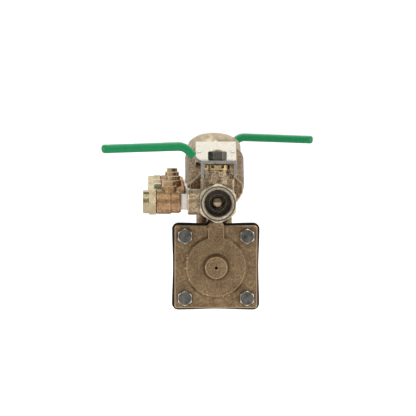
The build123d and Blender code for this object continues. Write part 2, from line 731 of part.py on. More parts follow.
with BuildPart() as relief_diaphragm:
    half = diaphragm_side / 2
    waist = half - 0.9
    with BuildSketch() as sheet:
        with BuildLine():
            corner = half - 6.0
            Spline((-corner, half), (0, waist), (corner, half), tangents=((1, 0), (1, 0)))
            Spline((half, corner), (waist, 0), (half, -corner), tangents=((0, -1), (0, -1)))
            Spline((corner, -half), (0, -waist), (-corner, -half), tangents=((-1, 0), (-1, 0)))
            Spline((-half, -corner), (-waist, 0), (-half, corner), tangents=((0, 1), (0, 1)))
            RadiusArc((corner, half), (half, corner), 6.0)
            RadiusArc((half, -corner), (corner, -half), 6.0)
            RadiusArc((-corner, -half), (-half, -corner), 6.0)
            RadiusArc((-half, corner), (-corner, half), 6.0)
        make_face()
    prism(relief_plane(0), cover_back, relief_flange_face, sheet.sketch)
    prism(relief_plane(0), cover_back, relief_flange_face,
          tongue(tongue_round_z, tongue_half_width, relief_z + 20, grow=2.0))
    rod(relief_plane(0), cover_back, relief_flange_face, 4.0, Mode.SUBTRACT)
    rod(Plane((0, 0, sensing_z), x_dir=(-1, 0, 0), z_dir=(0, 1, 0)), cover_back,
        relief_flange_face, 2.5, Mode.SUBTRACT)
    with Locations(relief_plane(cover_back)):
        with GridLocations(relief_bolt_spacing, relief_bolt_spacing, 2, 2):
            Cylinder(relief_bolt_radius + 0.15, 40, mode=Mode.SUBTRACT)
save(relief_diaphragm, "relief_diaphragm")

with BuildPart() as relief_bolts:
    head_height = 5.3
    shank_end = flange_back + 2.5
    with BuildSketch(relief_plane(cover_front)) as heads:
        with GridLocations(relief_bolt_spacing, relief_bolt_spacing, 2, 2):
            RegularPolygon(6.35, 6, major_radius=False, rotation=90)
    extrude(heads.sketch, amount=-head_height)
    for x in (-relief_bolt_spacing / 2, relief_bolt_spacing / 2):
        for z in (-relief_bolt_spacing / 2, relief_bolt_spacing / 2):
            own = Plane((x, 0, relief_z + z), x_dir=(0, 1, 0), z_dir=(1, 0, 0))
            ring_cut = [(cover_front - head_height, 6.2), (cover_front - head_height, 9),
                        (cover_front - head_height + 1.1, 9),
                        (cover_front - head_height + 1.1, 7.4)]
            turned(own, ring_cut, Mode.SUBTRACT)
    with BuildSketch(relief_plane(cover_front)) as shanks:
        with GridLocations(relief_bolt_spacing, relief_bolt_spacing, 2, 2):
            Circle(relief_bolt_radius)
    extrude(shanks.sketch, amount=shank_end - cover_front)
save(relief_bolts, "relief_cover_bolts")

front_plate_depth = 2.5
rear_plate_end = relief_flange_face + 3.0
relief_stem_radius = 3.95
holder_start = 101.4
rubber_start = 106.4
rubber_end = 109.4
relief_lip = rubber_end + relief_travel + 0.1

with BuildPart() as relief_stem:
    turned(about_relief, [(57.0, 0), (57.0, 3.4), (57.6, relief_stem_radius),
                          (holder_start + 3.0, relief_stem_radius),
                          (holder_start + 3.0, 0)])
    rod(relief_plane(0), 75.0, holder_start + 3.0, 1.5, Mode.SUBTRACT)
    rod(Plane((0, 78.0, relief_z), x_dir=(0, 1, 0), z_dir=(0, 0, 1)), 0, 6.0, 1.2, Mode.SUBTRACT)
save(relief_stem, "relief_stem")

with BuildPart() as relief_plates:
    turned(about_relief, [(cover_back - front_plate_depth, 4.0),
                          (cover_back - front_plate_depth, 17.2),
                          (cover_back - front_plate_depth + 0.8, 18.0), (cover_back, 18.0),
                          (cover_back, 4.0)])
    turned(about_relief, [(relief_flange_face, 4.0), (relief_flange_face, 20.0),
                          (rear_plate_end - 0.8, 20.0), (rear_plate_end, 19.2),
                          (rear_plate_end, 4.0)])
save(relief_plates, "relief_diaphragm_plates")

with BuildPart() as relief_nut:
    nut_front = 60.0
    prism(relief_plane(0), nut_front, cover_back - front_plate_depth, hexagon(12.7))
    rod(relief_plane(0), nut_front, cover_back, 4.0, Mode.SUBTRACT)
save(relief_nut, "relief_stem_nut")

with BuildPart() as relief_spring:
    coil(relief_plane(0), rear_plate_end + 0.05, diaphragm_chamber_end - 0.05, 12.5, 1.0, 3)
save(relief_spring, "relief_spring")

with BuildPart() as relief_guide:
    turned(about_relief, [(diaphragm_chamber_end, 4.05), (diaphragm_chamber_end, 19.0),
                          (guide_shoulder, 19.0), (guide_shoulder, 15.95), (95.0, 15.95),
                          (95.0, 7.0), (98.0, 7.0), (98.0, 4.05)])
save(relief_guide, "relief_stem_guide")

with BuildPart() as relief_holder:
    turned(about_relief, [(holder_start, 4.0), (holder_start, 9.0), (holder_start + 1.5, 12.6),
                          (rubber_start + 1.6, 12.6), (rubber_start + 1.6, 11.6),
                          (rubber_start, 11.6), (rubber_start, 2.0),
                          (holder_start + 3.0, 2.0), (holder_start + 3.0, 4.0)])
save(relief_holder, "relief_disc_holder")

with BuildPart() as relief_disc:
    turned(about_relief, [(rubber_start, 2.0), (rubber_start, 11.5), (rubber_end, 11.5),
                          (rubber_end, 2.0)])
save(relief_disc, "relief_disc")

with BuildPart() as relief_screw:
    turned(about_relief, [(holder_start + 3.0, 1.6), (holder_start + 3.0, 1.95),
                          (rubber_end, 1.95), (rubber_end, 5.2), (rubber_end + 1.4, 5.2),
                          (rubber_end + 2.0, 4.4), (rubber_end + 2.0, 1.6)])
save(relief_screw, "relief_disc_screw")

with BuildPart() as relief_seat:
    turned(about_relief, [(relief_seat_end, 8.5), (relief_seat_end, 13.45), (122.0, 13.45),
                          (122.0, 11.6), (120.0, 11.6), (120.0, 13.45),
                          (relief_seat_shoulder, 13.45), (relief_seat_shoulder, 15.8),
                          (relief_seat_shoulder - 1.5, 15.8), (relief_seat_shoulder - 1.5, 10.6),
                          (relief_lip, 10.0), (relief_lip, 9.0),
                          (relief_seat_shoulder - 1.5, 8.5)])
save(relief_seat, "relief_seat")


# ---------------------------------------------------------------- test cocks
def about_cock(boss):
    """Plane for turned outlines about a test cock, distances out from its boss face."""
    return Plane(boss, x_dir=(-1, 0, 0), z_dir=(0, 1, 0))


def out_of_boss(boss):
    """Plane of a boss face, its normal pointing out of the body."""
    return Plane(boss, x_dir=(0, 1, 0), z_dir=(-1, 0, 0))


def above_cock(boss):
    """Horizontal plane centred on a test cock's stem."""
    centre = (boss[0] - cock_seat, boss[1], boss[2])
    return Plane(centre, x_dir=(1, 0, 0), z_dir=(0, 0, 1))


cock_ball_radius = 6.6
cock_neck_radius = 4.3
cock_neck_top = 7.6
cock_waterway = 3.0
cock_seat_floor = 10.5
tail_thread_radius = 8.5
tail_start = 23.4
tail_hex_start = 29.0
tail_hex_end = 35.5


def make_cock_body(boss):
    """The bronze body of a test cock, with its threaded shank."""
    with BuildPart() as body:
        turned(about_cock(boss), [(-8.5, 0), (-8.5, cock_shank_radius), (6.0, cock_shank_radius),
                                  (6.0, 9.2), (8.0, 10.4), (15.0, 10.4), (16.2, 11.4),
                                  (27.8, 11.4), (tail_hex_start, 10.6), (tail_hex_start, 0)])
        rod(above_cock(boss), 0, 15.0, 7.0)
        turned(about_cock(boss), [(-8.5, 0), (-8.5, cock_waterway), (cock_seat_floor, cock_waterway),
                                  (cock_seat_floor, 7.5), (tail_start, 7.5),
                                  (tail_start, tail_thread_radius + fit),
                                  (tail_hex_start, tail_thread_radius + fit),
                                  (tail_hex_start, 0)], Mode.SUBTRACT)
        rod(above_cock(boss), 0, 15.0, cock_stem_radius + fit, Mode.SUBTRACT)
    return body


def make_cock_tail(boss):
    """The brass hexagon tail with the gauge port."""
    with BuildPart() as tail:
        prism(out_of_boss(boss), tail_hex_start, tail_hex_end, hexagon(23.0))
        turned(about_cock(boss), [(tail_hex_start, 0), (tail_hex_start, 12.6),
                                  (tail_hex_start + 0.8, 13.3), (tail_hex_end - 0.8, 13.3),
                                  (tail_hex_end, 12.6), (tail_hex_end, 0)], Mode.INTERSECT)
        turned(about_cock(boss), [(tail_start, 0), (tail_start, tail_thread_radius),
                                  (tail_hex_start, tail_thread_radius),
                                  (tail_hex_start, 10.0), (tail_hex_end, 10.9),
                                  (cock_length - 0.7, 10.9), (cock_length, 10.2),
                                  (cock_length, 0)])
        port_floor = cock_length - cock_port_depth
        turned(about_cock(boss), [(tail_start, 0), (tail_start, cock_waterway),
                                  (port_floor, cock_waterway), (port_floor, cock_port_radius),
                                  (cock_length, cock_port_radius), (cock_length, 0)],
               Mode.SUBTRACT)
    return tail


def make_cock_stem(boss):
    """The slotted stem and its bored ball, turned shut."""
    up = above_cock(boss)
    across = Plane(up.origin, x_dir=(1, 0, 0), z_dir=(0, 1, 0))
    with BuildPart() as stem:
        with Locations(up.origin):
            Sphere(cock_ball_radius)
        rod(up, 0, cock_neck_top, cock_neck_radius)
        rod(up, cock_neck_top, cock_stem_top, cock_stem_radius)
        groove = Plane(up.origin, x_dir=(0, 0, 1), z_dir=(0, 1, 0))
        turned(groove, [(11.3, 4.2), (11.3, 6), (12.7, 6), (12.7, 4.2)], Mode.SUBTRACT)
        prism(up, cock_stem_top - 2.4, cock_stem_top, rectangle((-7, -1), (7, 1)), Mode.SUBTRACT)
        rod(across, -cock_ball_radius, cock_ball_radius, cock_waterway, Mode.SUBTRACT)
    return stem


def make_cock_seat(boss, floor, facing):
    """A PTFE ring between a test cock's ball and the wall behind it."""
    outwards = about_cock(boss)
    start = Plane(outwards.origin + outwards.x_dir * floor, x_dir=outwards.x_dir * facing,
                  z_dir=outwards.z_dir * facing)
    with BuildPart() as seat:
        seat_ring(start, abs(cock_seat - floor), cock_ball_radius + 0.03, 3.3, 7.45, 2.0)
    return seat


for name, boss in cock_bosses.items():
    save(make_cock_body(boss), f"{name}_body")
    save(make_cock_tail(boss), f"{name}_tail")
    save(make_cock_stem(boss), f"{name}_stem")

inner_seats = [make_cock_seat(boss, cock_seat_floor, 1).part for boss in cock_bosses.values()]
outer_seats = [make_cock_seat(boss, tail_start, -1).part for boss in cock_bosses.values()]
with BuildPart() as cock_seats:
    add(inner_seats + outer_seats)
save(cock_seats, "test_cock_seats")

with BuildPart() as o_rings:
    for centre in check_centres.values():
        ring(about_tower(centre), tower_length + 0.75, 22.9, 0.72)
        ring(about_tower(centre), -6.0, 16.05, o_ring_radius)
    ring(about_relief, 121.0, 12.55, o_ring_radius)
    for boss in cock_bosses.values():
        axis = Plane(above_cock(boss).origin, x_dir=(0, 0, 1), z_dir=(0, 1, 0))
        ring(axis, 12.0, 4.88, 0.62)
save(o_rings, "o_rings")

with BuildPart() as tape:
    for boss in cock_bosses.values():
        turned(about_cock(boss), [(0.1, cock_shank_radius + 0.02), (0.1, 7.5), (5.9, 7.3),
                                  (5.9, cock_shank_radius + 0.02)])
save(tape, "thread_tape")


# ---------------------------------------------------------------- nameplate
plate_width = 38.0
plate_height = 21.0
plate_depth = 0.8
plate_face = Plane(tower(first_check_centre).from_local_coords((0, -27.6, tower_length)),
                   x_dir=(1, 0, 0), z_dir=-tower(first_check_centre).y_dir)

with BuildPart() as nameplate:
    with BuildSketch() as outline:
        with BuildLine():
            Polyline((-plate_width / 2, -plate_height), (plate_width / 2, -plate_height),
                     (plate_width / 2, 0), (2.2, 0), (0, 1.8), (-2.2, 0),
                     (-plate_width / 2, 0), close=True)
        make_face()
    prism(plate_face, 0, plate_depth, outline.sketch)
    rivet_at = [(-16.0, -plate_height / 2), (16.0, -plate_height / 2)]
    for x, y in rivet_at:
        with Locations(plate_face):
            with Locations((x, y, plate_depth / 2)):
                Cylinder(1.25, 2 * plate_depth, mode=Mode.SUBTRACT)
save(nameplate, "nameplate")

with BuildPart() as rivets:
    for x, y in rivet_at:
        with Locations(plate_face):
            with Locations((x, y, plate_depth)):
                Cylinder(2.1, 0.8, align=(Align.CENTER, Align.CENTER, Align.MIN))
                Cylinder(1.2, plate_depth, align=(Align.CENTER, Align.CENTER, Align.MAX))
save(rivets, "nameplate_rivets")
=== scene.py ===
import json
import math

import bpy
from mathutils import Matrix, Vector


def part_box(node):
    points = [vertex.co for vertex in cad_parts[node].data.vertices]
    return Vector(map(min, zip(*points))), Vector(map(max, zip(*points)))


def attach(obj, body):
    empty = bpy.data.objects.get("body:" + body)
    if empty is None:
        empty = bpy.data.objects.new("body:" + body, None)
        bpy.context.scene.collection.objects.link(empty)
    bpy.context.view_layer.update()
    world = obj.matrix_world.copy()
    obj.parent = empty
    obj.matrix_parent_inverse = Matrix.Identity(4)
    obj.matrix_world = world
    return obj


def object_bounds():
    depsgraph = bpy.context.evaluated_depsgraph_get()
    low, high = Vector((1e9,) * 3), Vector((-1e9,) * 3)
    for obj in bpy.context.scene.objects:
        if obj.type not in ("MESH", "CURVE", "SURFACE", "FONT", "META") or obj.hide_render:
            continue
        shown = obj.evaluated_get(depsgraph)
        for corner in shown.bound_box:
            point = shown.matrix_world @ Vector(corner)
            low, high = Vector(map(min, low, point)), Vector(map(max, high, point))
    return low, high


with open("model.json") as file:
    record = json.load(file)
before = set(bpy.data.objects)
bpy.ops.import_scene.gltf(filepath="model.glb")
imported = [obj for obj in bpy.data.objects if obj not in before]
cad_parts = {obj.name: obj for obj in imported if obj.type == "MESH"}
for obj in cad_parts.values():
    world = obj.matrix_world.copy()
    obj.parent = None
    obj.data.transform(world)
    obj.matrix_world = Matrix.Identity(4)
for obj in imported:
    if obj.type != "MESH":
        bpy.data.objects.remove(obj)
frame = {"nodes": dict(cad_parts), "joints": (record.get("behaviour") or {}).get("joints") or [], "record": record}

# Reduced-pressure backflow preventer: looks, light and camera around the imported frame.
# Metres. +Y is the flow direction and +Z is up; the origin is the inlet port's face.

cad_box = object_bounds()
nodes = frame["nodes"]
joints = {joint["name"]: joint for joint in frame["joints"]}
mounts = {mount["name"]: mount for mount in frame["record"]["mounts"]}
scene = bpy.context.scene
mm = 0.001
inch = 25.4 * mm


# ---------------------------------------------------------------- material nodes
class Surface:
    """A procedural material, built up from small steps on one Principled shader."""

    def __init__(self, name, metallic=1.0, specular=0.5):
        self.material = bpy.data.materials.new(name)
        self.material.use_nodes = True
        self.tree = self.material.node_tree
        self.shader = self.tree.nodes["Principled BSDF"]
        self.shader.inputs["Metallic"].default_value = metallic
        self.shader.inputs["Specular IOR Level"].default_value = specular
        place = self.tree.nodes.new("ShaderNodeTexCoord")
        self.place = place.outputs["Object"]
        self.normal = None

    def node(self, kind, **settings):
        made = self.tree.nodes.new(kind)
        for key, value in settings.items():
            setattr(made, key, value)
        return made

    def link(self, source, target):
        self.tree.links.new(source, target)

    def stretched(self, scale):
        """The place, scaled unevenly, for streaks and brush marks."""
        mapping = self.node("ShaderNodeMapping")
        mapping.inputs["Scale"].default_value = scale
        self.link(self.place, mapping.inputs["Vector"])
        return mapping.outputs["Vector"]

    def noise(self, size, detail=4.0, rough=0.6, place=None, warp=0.0):
        """Noise whose features are about this many metres across."""
        made = self.node("ShaderNodeTexNoise")
        made.inputs["Scale"].default_value = 1.0 / size
        made.inputs["Detail"].default_value = detail
        made.inputs["Roughness"].default_value = rough
        made.inputs["Distortion"].default_value = warp
        self.link(place or self.place, made.inputs["Vector"])
        return made.outputs["Fac"]

    def cells(self, size):
        """Grains about this many metres across, dark in their middles."""
        made = self.node("ShaderNodeTexVoronoi")
        made.inputs["Scale"].default_value = 1.0 / size
        self.link(self.place, made.inputs["Vector"])
        return made.outputs["Distance"]

    def ramp(self, source, *stops):
        """Colours or greys at given values of the source."""
        made = self.node("ShaderNodeValToRGB")
        steps = made.color_ramp.elements
        while len(steps) < len(stops):
            steps.new(0.5)
        for step, (at, value) in zip(steps, stops):
            step.position = at
            step.color = (*value, 1) if isinstance(value, tuple) else (value, value, value, 1)
        self.link(source, made.inputs["Fac"])
        return made.outputs["Color"]

    def mix(self, share, low, high, blend="MIX"):
        """Low and high mixed by a share; either may be a colour or another output."""
        made = self.node("ShaderNodeMix", data_type="RGBA", blend_type=blend)
        for socket, value in (("Factor", share), ("A", low), ("B", high)):
            target = next(s for s in made.inputs if s.name == socket and s.enabled)
            if isinstance(value, (tuple, float, int)):
                target.default_value = (*value, 1) if isinstance(value, tuple) else value
            else:
                self.link(value, target)
        return next(s for s in made.outputs if s.enabled)

    def scale(self, source, low, high):
        """The source from 0 to 1 turned into a range."""
        made = self.node("ShaderNodeMapRange")
        made.inputs["To Min"].default_value = low
        made.inputs["To Max"].default_value = high
        self.link(source, made.inputs["Value"])
        return made.outputs["Result"]

    def radius(self, point, axis):
        """Distance from a line and along it, in metres, for turned rings."""
        axis = Vector(axis).normalized()
        away = self.node("ShaderNodeVectorMath", operation="SUBTRACT")
        away.inputs[1].default_value = point
        self.link(self.place, away.inputs[0])
        along = self.node("ShaderNodeVectorMath", operation="DOT_PRODUCT")
        along.inputs[1].default_value = axis
        self.link(away.outputs["Vector"], along.inputs[0])
        back = self.node("ShaderNodeVectorMath", operation="SCALE")
        back.inputs[0].default_value = axis
        self.link(along.outputs["Value"], back.inputs["Scale"])
        across = self.node("ShaderNodeVectorMath", operation="SUBTRACT")
        self.link(away.outputs["Vector"], across.inputs[0])
        self.link(back.outputs["Vector"], across.inputs[1])
        length = self.node("ShaderNodeVectorMath", operation="LENGTH")
        self.link(across.outputs["Vector"], length.inputs[0])
        return length.outputs["Value"], along.outputs["Value"]

    def lines(self, value, pitch, wobble=None, amount=0.0):
        """Fine parallel tool marks along a value in metres."""
        if wobble is not None:
            shifted = self.node("ShaderNodeMath", operation="MULTIPLY_ADD")
            shifted.inputs[1].default_value = amount
            self.link(wobble, shifted.inputs[0])
            self.link(value, shifted.inputs[2])
            value = shifted.outputs["Value"]
        turns = self.node("ShaderNodeMath", operation="MULTIPLY")
        turns.inputs[1].default_value = 2 * math.pi / pitch
        self.link(value, turns.inputs[0])
        wave = self.node("ShaderNodeMath", operation="SINE")
        self.link(turns.outputs["Value"], wave.inputs[0])
        return wave.outputs["Value"]

    def streaks(self, value, size):
        """Uneven tool marks along a value in metres: noise that changes only along it."""
        joined = self.node("ShaderNodeCombineXYZ")
        self.link(value, joined.inputs["X"])
        return self.noise(size, detail=3.0, place=joined.outputs["Vector"])

    def edges(self, reach, low, high):
        """1 on edges and 0 elsewhere, from how far a rounded normal turns away. It marks edge wear, and painted
        highlights on edges.
        """
        soft = self.node("ShaderNodeBevel", samples=6)
        soft.inputs["Radius"].default_value = reach
        plain = self.node("ShaderNodeNewGeometry")
        turn = self.node("ShaderNodeVectorMath", operation="DOT_PRODUCT")
        self.link(soft.outputs["Normal"], turn.inputs[0])
        self.link(plain.outputs["Normal"], turn.inputs[1])
        mask = self.node("ShaderNodeMapRange")
        mask.inputs["From Min"].default_value = high
        mask.inputs["From Max"].default_value = low
        self.link(turn.outputs["Value"], mask.inputs["Value"])
        return mask.outputs["Result"]

    def ridges(self, low, high):
        """1 along rounded outer edges of a dense mesh, from how pointed its surface is."""
        shape = self.node("ShaderNodeNewGeometry")
        mask = self.node("ShaderNodeMapRange")
        mask.inputs["From Min"].default_value = low
        mask.inputs["From Max"].default_value = high
        self.link(shape.outputs["Pointiness"], mask.inputs["Value"])
        return mask.outputs["Result"]

    def turned_from(self, axis, low, high):
        """1 where the surface faces away from an axis, such as the chamfers of a bolt's head."""
        shape = self.node("ShaderNodeNewGeometry")
        along = self.node("ShaderNodeVectorMath", operation="DOT_PRODUCT")
        along.inputs[1].default_value = axis
        self.link(shape.outputs["True Normal"], along.inputs[0])
        size = self.node("ShaderNodeMath", operation="ABSOLUTE")
        self.link(along.outputs["Value"], size.inputs[0])
        mask = self.node("ShaderNodeMapRange")
        mask.inputs["From Min"].default_value = high
        mask.inputs["From Max"].default_value = low
        self.link(size.outputs["Value"], mask.inputs["Value"])
        return mask.outputs["Result"]

    def painted_corner_shade(self, reach):
        """Towards 0 in tight corners: painted shade, from ambient occlusion."""
        made = self.node("ShaderNodeAmbientOcclusion", samples=6)
        made.inputs["Distance"].default_value = reach
        return made.outputs["AO"]

    def bump(self, source, depth, strength=1.0):
        made = self.node("ShaderNodeBump")
        made.inputs["Distance"].default_value = depth
        made.inputs["Strength"].default_value = strength
        self.link(source, made.inputs["Height"])
        if self.normal is not None:
            self.link(self.normal, made.inputs["Normal"])
        self.normal = made.outputs["Normal"]

    def finish(self, colour, roughness):
        self.link(colour, self.shader.inputs["Base Color"])
        self.link(roughness, self.shader.inputs["Roughness"])
        if self.normal is not None:
            self.link(self.normal, self.shader.inputs["Normal"])
        return self.material


def shades(colour, *factors):
    """Darker and lighter versions of a colour."""
    return tuple(tuple(min(c * factor, 1.0) for c in colour) for factor in factors)


def cast_metal(name, colour, speckle=1.0, grain=1.7 * mm, depth=0.25 * mm, rough=(0.36, 0.56)):
    """Sand-cast bronze: coarse speckle, dark pits, painted highlights on ridges, painted shade in creases and
    corners.
    """
    look = Surface(name, metallic=0.9)
    dark, low, high, bright = shades(colour, 1 - 0.72 * speckle, 1 - 0.3 * speckle,
                                     1 + 0.25 * speckle, 1 + 0.95 * speckle)
    speckles = look.noise(grain, detail=6.0, rough=0.78)
    patches = look.noise(14 * mm, detail=3.0, warp=0.6)
    sand = look.ramp(speckles, (0.36, dark), (0.46, low), (0.54, high), (0.64, bright))
    stained = look.ramp(patches, (0.3, (0.66, 0.62, 0.58)), (0.7, (1.12, 1.1, 1.06)))
    tone = look.mix(1.0, sand, stained, blend="MULTIPLY")
    # painted highlight: lighter along the rounded ridges and edges of the casting
    tone = look.mix(look.ridges(0.505, 0.56), tone, shades(colour, 2.6)[0])
    # painted shade: darker in the creases and hollows of the casting
    tone = look.mix(look.ridges(0.495, 0.45), tone, shades(colour, 0.25)[0])
    # painted shade: darker in corners and recesses, from ambient occlusion
    corner_shade = look.ramp(look.painted_corner_shade(6 * mm), (0.3, 0.22), (0.85, 1.0))
    tone = look.mix(1.0, tone, corner_shade, blend="MULTIPLY")
    look.bump(look.noise(3.2 * mm, detail=3.0), depth * 1.6, 0.5)
    look.bump(speckles, depth, 0.55)
    look.bump(look.cells(0.55 * mm), depth * 0.5, 0.3)
    return look.finish(tone, look.scale(speckles, rough[1], rough[0]))


def turned_metal(name, colour, axes, pitch=0.35 * mm, rough=(0.2, 0.36), depth=0.02 * mm,
                 contrast=0.2):
    """Lathe-turned metal: rings about each axis line, lighter edges from wear and a painted highlight."""
    look = Surface(name)
    point, axis = axes
    radius, along = look.radius(point, axis)
    wander = look.noise(9 * mm)
    rings = look.lines(radius, pitch, wander, 0.3 * pitch)
    bands = look.lines(along, pitch * 1.3, wander, 0.3 * pitch)
    uneven = look.streaks(along, 1.1 * mm)
    face = look.streaks(radius, 0.9 * mm)
    low, high = shades(colour, 1 - contrast, 1 + contrast)
    tone = look.mix(look.scale(uneven, 0, 1), low, high)
    tone = look.mix(look.scale(face, 0.1, 0.6), tone, high)
    stains = look.ramp(look.noise(7 * mm, detail=5.0), (0.35, (0.72, 0.68, 0.62)), (0.6, 1.0))
    tone = look.mix(1.0, tone, stains, blend="MULTIPLY")
    # lighter edges: partly wear, partly a painted highlight
    tone = look.mix(look.edges(0.35 * mm, 0.82, 0.98), tone, shades(colour, 1.5)[0])
    # painted shade: darker in corners and recesses, from ambient occlusion
    corner_shade = look.ramp(look.painted_corner_shade(3 * mm), (0.2, 0.3), (0.7, 1.0))
    tone = look.mix(1.0, tone, corner_shade, blend="MULTIPLY")
    look.bump(rings, depth, 0.5)
    look.bump(bands, depth, 0.5)
    look.bump(look.noise(2.5 * mm, detail=4.0), depth * 2, 0.3)
    return look.finish(tone, look.scale(look.noise(5 * mm), rough[0], rough[1]))


def port_metal(name, colour, point, painted_rings):
    """Turned bronze with stains, and painted light by radius: painted shade in the bore, a painted highlight on
    the chamfer, painted shade on the face.
    """
    look = Surface(name)
    radius = look.radius(point, flow_axis)[0]
    widest = painted_rings[-1][0]
    share = look.node("ShaderNodeMath", operation="DIVIDE")
    share.inputs[1].default_value = widest
    look.link(radius, share.inputs[0])
    # painted shade and painted highlight rings by radius, multiplied into the colour
    shade = look.ramp(share.outputs["Value"], *((at / widest, grey) for at, grey in painted_rings))
    marks = look.ramp(look.noise(1.6 * mm, detail=5.0, rough=0.7), (0.34, 0.55), (0.6, 1.25))
    tone = look.mix(1.0, colour, shade, blend="MULTIPLY")
    tone = look.mix(1.0, tone, marks, blend="MULTIPLY")
    # lighter edges: partly wear, partly a painted highlight
    tone = look.mix(look.edges(0.4 * mm, 0.82, 0.98), tone, shades(colour, 1.5)[0])
    look.bump(look.lines(radius, 0.5 * mm, look.noise(9 * mm), 0.15 * mm), 0.03 * mm, 0.5)
    look.bump(look.noise(2.2 * mm, detail=4.0), 0.12 * mm, 0.4)
    return look.finish(tone, look.scale(look.noise(4 * mm), 0.25, 0.42))


def brushed_metal(name, colour, stretch, rough=(0.24, 0.42), blotch=0.35, wear_and_highlight=1.8,
                  face=None):
    """Steel with brush lines, blotches, lighter edges from wear and a painted highlight, and painted highlights on
    the sides that turn away from an axis, which leave the face across it darker.
    """
    look = Surface(name)
    grain = look.noise(1.0, detail=4.0, place=look.stretched(stretch))
    blotches = look.noise(4 * mm, detail=5.0, warp=0.5)
    low, high = shades(colour, 1 - blotch, 1 + blotch * 0.6)
    tone = look.mix(look.scale(blotches, -0.3, 1.3), low, high)
    fine = look.ramp(grain, (0.3, 0.78), (0.7, 1.1))
    tone = look.mix(1.0, tone, fine, blend="MULTIPLY")
    # lighter edges: partly wear, partly a painted highlight
    tone = look.mix(look.edges(0.6 * mm, 0.86, 0.99), tone, shades(colour, wear_and_highlight)[0])
    if face:
        # painted highlight: lighter on the sides and chamfers that turn away from the axis, so the face across it
        # looks darker
        tone = look.mix(look.turned_from(face, 0.8, 0.97), tone, shades(colour, wear_and_highlight)[0])
    # painted shade: darker in corners and recesses, from ambient occlusion
    corner_shade = look.ramp(look.painted_corner_shade(2.5 * mm), (0.2, 0.3), (0.7, 1.0))
    tone = look.mix(1.0, tone, corner_shade, blend="MULTIPLY")
    look.bump(grain, 0.015 * mm, 0.5)
    look.bump(look.noise(1.6 * mm, detail=5.0), 0.05 * mm, 0.3)
    return look.finish(tone, look.scale(grain, rough[0], rough[1]))


def moulded(name, colour, rough=(0.3, 0.42), grain=1.2 * mm, depth=0.05 * mm, specular=0.5,
            variation=0.12, subsurface=0.0):
    """Vinyl, rubber or PTFE: slight orange peel, faint marks, painted highlights on the edges."""
    look = Surface(name, metallic=0.0, specular=specular)
    look.shader.inputs["Subsurface Weight"].default_value = subsurface
    look.shader.inputs["Subsurface Scale"].default_value = 1.5 * mm
    peel = look.noise(grain, detail=3.0)
    marks = look.noise(9 * mm, detail=5.0, warp=0.8)
    low, high = shades(colour, 1 - variation, 1 + variation)
    tone = look.mix(look.scale(marks, -0.2, 1.2), low, high)
    # painted highlight: lighter along the edges
    tone = look.mix(look.edges(0.5 * mm, 0.75, 0.97), tone, shades(colour, 1 + 2 * variation)[0])
    look.bump(peel, depth, 0.4)
    look.bump(look.noise(5 * mm, detail=2.0), depth * 3, 0.3)
    return look.finish(tone, look.scale(marks, rough[0], rough[1]))


# ---------------------------------------------------------------- colours and materials
flow_axis = (0, 1, 0)
up_axis = (0, 0, 1)
check_axis = tuple(joints["first_check_lift"]["axis"])
relief_centre = Vector(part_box("relief_seat")[0]).lerp(Vector(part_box("relief_seat")[1]), 0.5)


def middle(node):
    low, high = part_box(node)
    return Vector(low).lerp(Vector(high), 0.5)


def paint(material, *names):
    """Give CAD nodes this material."""
    for name in names:
        slots = nodes[name].data.materials
        slots.clear()
        slots.append(material)


body_bronze = cast_metal("body_bronze", (0.22, 0.156, 0.094), speckle=1.1, grain=1.6 * mm)
cover_bronze = cast_metal("relief_cover_bronze", (0.235, 0.164, 0.094), speckle=0.55,
                          grain=1.9 * mm, depth=0.2 * mm, rough=(0.4, 0.58))
valve_bronze = cast_metal("valve_bronze", (0.34, 0.263, 0.174), speckle=0.95, depth=0.22 * mm,
                          rough=(0.3, 0.5))
cock_bronze = cast_metal("cock_bronze", (0.325, 0.2, 0.107), speckle=0.6, grain=1.5 * mm,
                         depth=0.16 * mm, rough=(0.34, 0.5))
grip_vinyl = moulded("grip_vinyl", (0.003, 0.185, 0.06), rough=(0.36, 0.48), specular=0.22)
seal_rubber = moulded("seal_rubber", (0.006, 0.005, 0.004), rough=(0.5, 0.7), depth=0.2 * mm,
                      variation=0.5, specular=0.3)
tape_white = moulded("tape_white", (0.62, 0.57, 0.52), rough=(0.45, 0.6), grain=0.5 * mm,
                     depth=0.15 * mm, variation=0.18)
ptfe_white = moulded("ptfe_white", (0.78, 0.77, 0.74), rough=(0.3, 0.4), subsurface=0.1)
check_plastic = moulded("check_plastic", (0.03, 0.03, 0.032), rough=(0.35, 0.5))
lever_steel = brushed_metal("lever_steel", (0.32, 0.305, 0.27), (900, 120, 900))
# the nut's and bolts' much lighter edges and chamfers are painted highlights
nut_steel = brushed_metal("nut_steel", (0.11, 0.1, 0.085), (500, 500, 160), wear_and_highlight=4.0)
bolt_steel = brushed_metal("bolt_steel", (0.13, 0.125, 0.11), (700, 300, 260), blotch=0.9,
                           wear_and_highlight=4.2, face=flow_axis)
inner_steel = brushed_metal("inner_steel", (0.5, 0.5, 0.49), (300, 900, 300))
rivet_aluminium = brushed_metal("rivet_aluminium", (0.6, 0.6, 0.58), (600, 600, 600))

